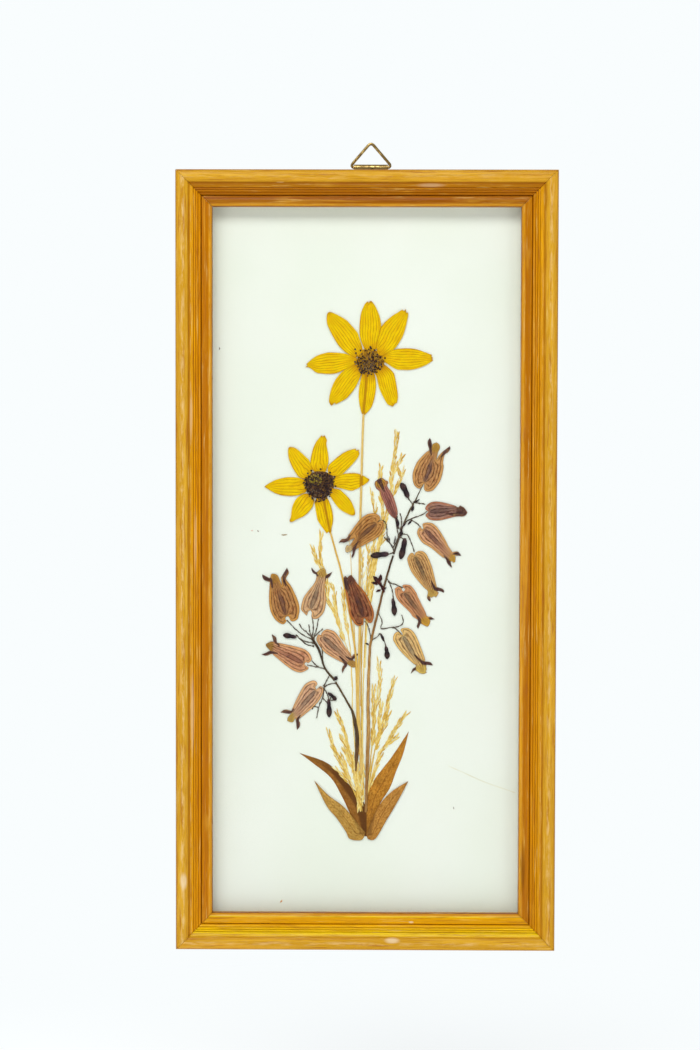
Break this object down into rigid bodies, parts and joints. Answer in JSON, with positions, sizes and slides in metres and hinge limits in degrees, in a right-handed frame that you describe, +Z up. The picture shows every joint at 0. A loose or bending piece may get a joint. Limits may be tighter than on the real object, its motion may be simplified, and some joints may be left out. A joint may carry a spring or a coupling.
{
  "type": "pressed flower frame",
  "caption": "Narrow moulded wooden frame holding a flat pressed flower arrangement behind glass, hung from a swinging wire triangle.",
  "frame": {"origin": "where a nail bears: under the inside of the wire triangle's top corner, on the wire's middle plane", "axes": "+Z up along the frame's long side, +X to the right seen from the front, +Y out of the back; the front faces -Y"},
  "size_m": [0.156, 0.0176, 0.3323],
  "materials": {
    "pine": "varnished, glossy",
    "glass": "clear, flat",
    "mount_paper": "matt, pale",
    "backing_board": "matt, pressed fibre",
    "steel": "dull",
    "brass": "aged, tarnished",
    "yellow_petal": "dry, satin",
    "flower_disc": "dry, rough",
    "straw": "dry, satin",
    "heart_flower": "dry, veined",
    "dark_twig": "dry, matt",
    "dry_leaf": "dry, veined"
  },
  "bodies": {
    "frame": {"rail_top": "pine", "rail_right": "pine", "rail_bottom": "pine", "rail_left": "pine", "glass_pane": "glass", "mount_paper": "mount_paper", "backing_board": "backing_board", "brad_upper_left": "steel", "brad_upper_right": "steel", "brad_lower_left": "steel", "brad_lower_right": "steel", "hanger_strap": "brass", "strap_pin_left": "brass", "strap_pin_right": "brass", "upper_petal_1": "yellow_petal", "upper_petal_2": "yellow_petal", "upper_petal_3": "yellow_petal", "upper_petal_4": "yellow_petal", "upper_petal_5": "yellow_petal", "upper_petal_6": "yellow_petal", "upper_petal_7": "yellow_petal", "upper_petal_8": "yellow_petal", "lower_petal_1": "yellow_petal", "lower_petal_2": "yellow_petal", "lower_petal_3": "yellow_petal", "lower_petal_4": "yellow_petal", "lower_petal_5": "yellow_petal", "lower_petal_6": "yellow_petal", "lower_petal_7": "yellow_petal", "lower_petal_8": "yellow_petal", "upper_disc": "flower_disc", "lower_disc": "flower_disc", "upper_stem": "straw", "lower_stem": "straw", "grass_right": "straw", "grass_left": "straw", "grass_middle": "straw", "right_flower_1": "heart_flower", "right_flower_2": "heart_flower", "right_flower_3": "heart_flower", "right_flower_4": "heart_flower", "right_flower_5": "heart_flower", "right_flower_6": "heart_flower", "right_flower_7": "heart_flower", "right_flower_8": "heart_flower", "right_flower_9": "heart_flower", "left_flower_1": "heart_flower", "left_flower_2": "heart_flower", "left_flower_3": "heart_flower", "left_flower_4": "heart_flower", "left_flower_5": "heart_flower", "right_spray_lower": "dark_twig", "right_spray_upper": "dark_twig", "left_spray_lower": "dark_twig", "left_spray_upper": "dark_twig", "leaf_1": "dry_leaf", "leaf_2": "dry_leaf", "leaf_3": "dry_leaf", "leaf_4": "dry_leaf"},
    "hanger": {"hanger_triangle": "brass"}
  },
  "joints": [
    {"name": "hanger_pivot", "type": "hinge", "parent": "frame", "child": "hanger", "pos_m": [0, 0, -0.00901], "axis": [1, 0, 0], "range_deg": [-165, 95]}
  ]
}
